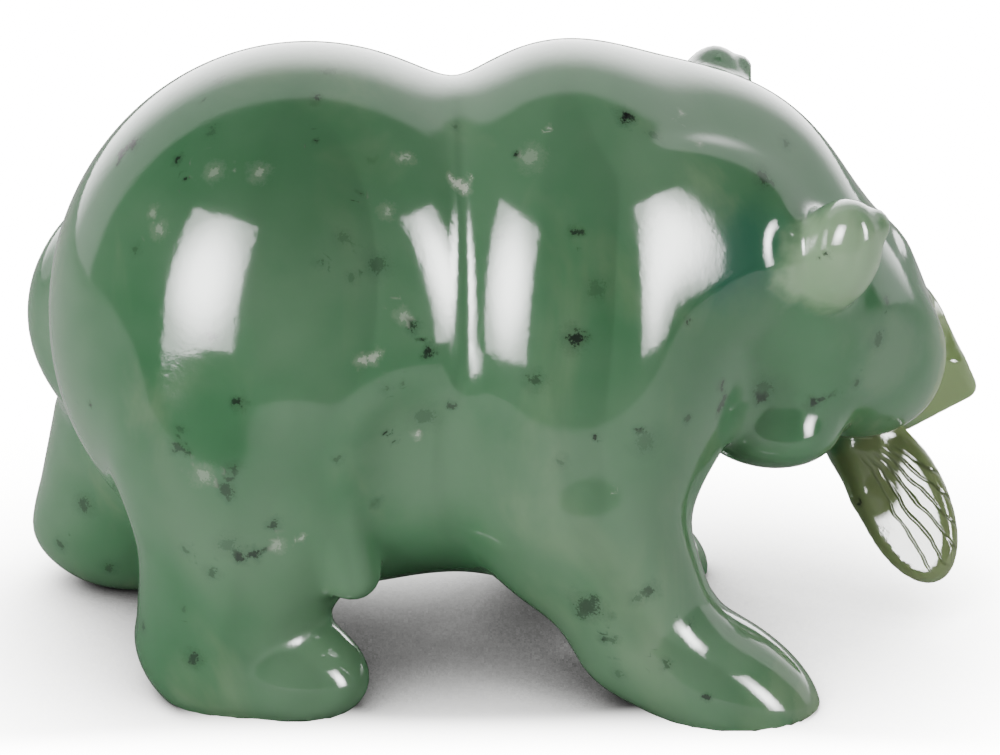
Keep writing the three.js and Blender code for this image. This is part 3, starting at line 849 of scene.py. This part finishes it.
class StageSettings(bpy.types.PropertyGroup):
    """Floor, lights and camera."""

    floor: bpy.props.FloatVectorProperty(
        name="Floor", description="Colour of the floor", default=colour(236, 236, 234), size=4,
        subtype="COLOR")
    table_front: bpy.props.FloatProperty(
        name="Lit floor", description="How far the lit floor reaches in front of the carving",
        default=0.16, min=0, max=5, unit="LENGTH")
    lens: bpy.props.FloatProperty(
        name="Lens", description="Focal length of the camera", default=117.9, min=10, max=400,
        unit="CAMERA")
    distance: bpy.props.FloatProperty(
        name="Distance", description="From the camera to the middle of the carving",
        default=VIEW_DISTANCE / 1000,
        min=0.1, max=5, unit="LENGTH")
    look_down: bpy.props.FloatProperty(
        name="Look down", description="How far the camera looks down",
        default=float(np.radians(LOOK_DOWN)), subtype="ANGLE")
    floor_light: bpy.props.FloatProperty(
        name="Floor light", description="How bright the open table looks", default=20.0, min=0,
        max=50)
    gleam: bpy.props.FloatProperty(
        name="Gleam", description="Brightness of the softboxes as the polish mirrors them",
        default=34.0, min=0, max=500)
    fill: bpy.props.FloatProperty(
        name="Fill", description="Brightness of the softboxes as they light the stone",
        default=8.2, min=0, max=500)


# Operators.


class BEAR_OT_carving(bpy.types.Operator):
    """Carve the stone: one closed polished surface, in place of its plain solid"""

    bl_idname = "bear.carving"
    bl_label = "Carve the Bear"

    def execute(self, context):
        sizes = context.scene.bear_sizes
        # The lattice reaches past the stone on every side, and is finer from the ears forward.
        lines = (
            lattice_line(-84, 84, sizes.cell, 36, 84, sizes.face_cell),
            lattice_line(-42, 54, sizes.cell, -42, -42, sizes.cell),
            lattice_line(-2.5, 104, sizes.cell, -2.5, -2.5, sizes.cell),
        )
        values = sampled(carving, lines)
        fill_diagonals(values, 0.01 * sizes.cell)
        corners, faces = surface_net(values, lines)
        corners = settled(carving, corners, faces, 4)
        outward = slope(carving, corners)
        outward /= np.linalg.norm(outward, axis=-1, keepdims=True)
        depths = (2, 4, 6, 9, 12, 16)
        thick = thickness(carving, corners, outward, depths)
        full_bend = 0.04
        bend = ((neighbour_mean(corners, faces) - corners) * outward).sum(axis=-1)
        share = sizes.height / 100
        low, high = corners.min(axis=0), corners.max(axis=0)
        middle = (low + high) / 2 * (1, 1, 0)
        piece = new_mesh("carved_stone", (corners - middle) * share, faces, outward)
        print("carved_stone:", 2 * len(faces), "triangles, middle", middle.round(3))
        corner_attribute(piece.data, "thickness", thick)
        corner_attribute(piece.data, "hollow", np.clip(bend / full_bend, 0, 1))
        centres, mark_sizes, strengths, tones = nearest_marks(corners)
        corner_attribute(piece.data, "tail_place", in_tail(in_head(corners)) * share)
        corner_attribute(piece.data, "mark_centre", (centres - middle) * share)
        corner_attribute(piece.data, "mark_size", mark_sizes * share)
        corner_attribute(piece.data, "mark_strength", strengths)
        corner_attribute(piece.data, "mark_tone", tones)
        piece.data.materials.append(jade_material(context.scene.jade_finish, middle))
        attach(piece, "root")
        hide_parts("jade_bear")
        return {"FINISHED"}


class BEAR_OT_stage(bpy.types.Operator):
    """Set the floor, the studio lights and the camera"""

    bl_idname = "bear.stage"
    bl_label = "Set the Stage"

    def execute(self, context):
        settings = context.scene.bear_stage
        floor = bpy.data.meshes.new("floor")
        reach = 6.0
        floor.from_pydata([(-reach, -reach, 0), (reach, -reach, 0), (reach, reach, 0),
                           (-reach, reach, 0)], [], [(0, 1, 2, 3)])
        floor.materials.append(floor_material(settings))
        ground = bpy.data.objects.new("floor", floor)
        context.scene.collection.objects.link(ground)
        for side, turn, wide in (("left", -42, 0.64), ("right", 57, 0.37)):
            add_softbox(side + "_gleam", turn, 16, wide, 0.97, settings.gleam, "glossy")
            add_softbox(side + "_fill", turn, 16, wide, 0.97, settings.fill, "diffuse")
        add_room(context.scene)
        add_camera(context.scene, settings)
        return {"FINISHED"}


def add_softbox(name, turn, rise, wide, tall, brightness, seen_by, distance=1.2):
    """A rectangular light aimed at the carving, brightest in the middle of its cloth."""
    light = bpy.data.lights.new(name, "AREA")
    light.shape = "RECTANGLE"
    light.size, light.size_y = wide, tall
    light.energy = brightness * wide * tall * np.pi
    light.use_nodes = True
    light.node_tree.nodes.clear()
    nodes = Nodes(light.node_tree)
    across_cloth = nodes.add("ShaderNodeNewGeometry").outputs["Parametric"]
    from_bulb = nodes.vector("DISTANCE", across_cloth, (0.5, 0.5, 0))
    glow = nodes.add("ShaderNodeEmission", None, Strength=nodes.spread(from_bulb, 0.05, 0.6, 1.8, 0.3))
    output = nodes.add("ShaderNodeOutputLight")
    nodes.feed(output.inputs["Surface"], glow.outputs["Emission"])
    lamp = bpy.data.objects.new(name, light)
    a, b = np.radians([turn, rise])
    away = np.array((np.sin(a) * np.cos(b), -np.cos(a) * np.cos(b), np.sin(b)))
    lamp.location = away * distance + (0, 0, 0.045)
    lamp.rotation_euler = (np.pi / 2 - b, 0, a)
    lamp.visible_camera = False
    lamp.visible_glossy = seen_by == "glossy"
    lamp.visible_diffuse = seen_by == "diffuse"
    bpy.context.scene.collection.objects.link(lamp)


def grey(level):
    """A grey light, which may be brighter than white."""
    return (level, level, level, 1)


def add_room(scene):
    """Dark room in front, pale backdrop behind, glaring in its middle, plain white to the eye."""
    world = bpy.data.worlds.new("Studio")
    scene.world = world
    world.use_nodes = True
    world.node_tree.nodes.clear()
    nodes = Nodes(world.node_tree)
    way = nodes.add("ShaderNodeTexCoord").outputs["Generated"]
    y = nodes.add("ShaderNodeSeparateXYZ", None, Vector=way).outputs["Y"]
    behind = nodes.spread(y, 0.2, 0.3)
    room = nodes.mix(behind, grey(0.05), grey(1.3))
    path = nodes.add("ShaderNodeLightPath")
    straight = nodes.math("MULTIPLY", nodes.spread(y, 0.55, 0.95), path.outputs["Is Glossy Ray"])
    room = nodes.mix(straight, room, grey(8))
    shown = nodes.mix(path.outputs["Is Camera Ray"], room, grey(14))
    glow = nodes.add("ShaderNodeBackground", None, Color=shown, Strength=1.0)
    output = nodes.add("ShaderNodeOutputWorld")
    nodes.feed(output.inputs["Surface"], glow.outputs["Background"])


def add_camera(scene, settings):
    """A long lens, level from side to side, looking down at the carving's near side."""
    data = bpy.data.cameras.new("camera")
    data.lens = settings.lens
    data.sensor_width = 36.0
    data.clip_start = 0.01
    camera = bpy.data.objects.new("camera", data)
    down = settings.look_down
    # The turned head draws the body's middle a little away from the middle of the box.
    aim = np.array((-0.19, -6.05, VIEW_HEIGHT)) / 1000
    camera.location = aim + settings.distance * np.array((0, -np.cos(down), np.sin(down)))
    camera.rotation_euler = (np.pi / 2 - down, 0, 0)
    scene.collection.objects.link(camera)
    scene.camera = camera


class BEAR_PT_panel(bpy.types.Panel):
    """Sizes, finish and stage of the jade bear"""

    bl_idname = "BEAR_PT_panel"
    bl_label = "Jade Bear"
    bl_space_type = "VIEW_3D"
    bl_region_type = "UI"
    bl_category = "Jade Bear"

    def draw(self, context):
        for name in ("bear_sizes", "jade_finish", "bear_stage"):
            settings = getattr(context.scene, name)
            box = self.layout.box()
            for key in settings.__annotations__:
                box.prop(settings, key)
        self.layout.operator("bear.carving")
        self.layout.operator("bear.stage")


CLASSES = (BearSizes, JadeFinish, StageSettings, BEAR_OT_carving, BEAR_OT_stage, BEAR_PT_panel)


def register():
    for kind in CLASSES:
        bpy.utils.register_class(kind)
    bpy.types.Scene.bear_sizes = bpy.props.PointerProperty(type=BearSizes)
    bpy.types.Scene.jade_finish = bpy.props.PointerProperty(type=JadeFinish)
    bpy.types.Scene.bear_stage = bpy.props.PointerProperty(type=StageSettings)


def unregister():
    for name in ("bear_sizes", "jade_finish", "bear_stage"):
        delattr(bpy.types.Scene, name)
    for kind in reversed(CLASSES):
        bpy.utils.unregister_class(kind)


def main():
    register()
    bpy.ops.bear.carving()
    bpy.ops.bear.stage()


if __name__ == "__main__":
    main()
